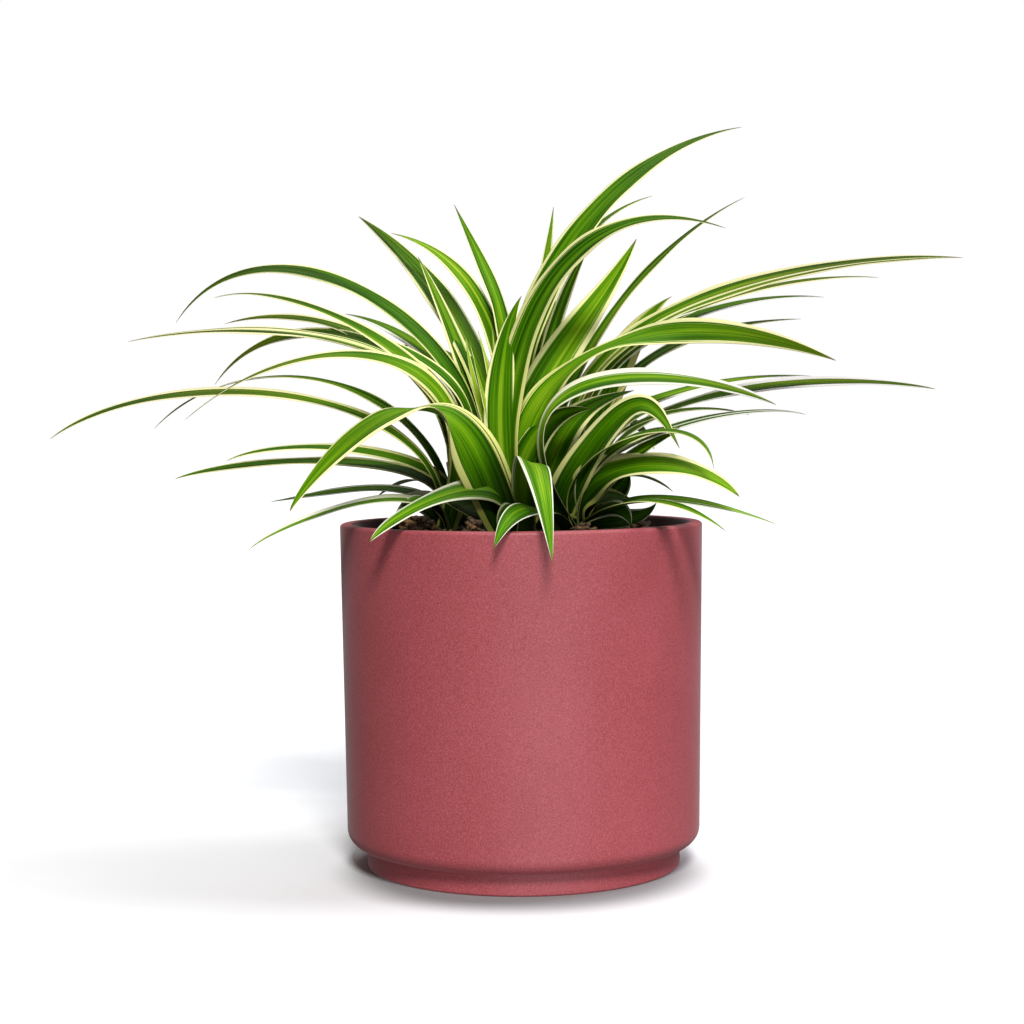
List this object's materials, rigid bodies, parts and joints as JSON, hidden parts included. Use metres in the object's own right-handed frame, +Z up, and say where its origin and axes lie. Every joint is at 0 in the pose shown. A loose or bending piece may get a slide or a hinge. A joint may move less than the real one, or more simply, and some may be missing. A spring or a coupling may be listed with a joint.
{
  "type": "potted spider plant",
  "caption": "Variegated spider plant with long arching blades, growing in soil in a plain cylindrical glazed ceramic pot on a recessed foot.",
  "frame": {"origin": "middle of the pot's flat underside, on the surface that it stands on", "axes": "+Z up along the pot's axis, -Y towards the front of the picture, +X to the right, towards the longest blades"},
  "size_m": [0.3751, 0.2531, 0.3242],
  "materials": {
    "glaze": "satin",
    "soil": "matt",
    "leaf": "satin"
  },
  "bodies": {
    "root": {"pot": "glaze", "soil": "soil", "crown_left": "leaf", "crown_back_left": "leaf", "crown_front_left": "leaf", "crown_front": "leaf", "crown_centre": "leaf", "crown_back": "leaf", "crown_back_right": "leaf", "crown_front_right": "leaf"}
  },
  "joints": []
}
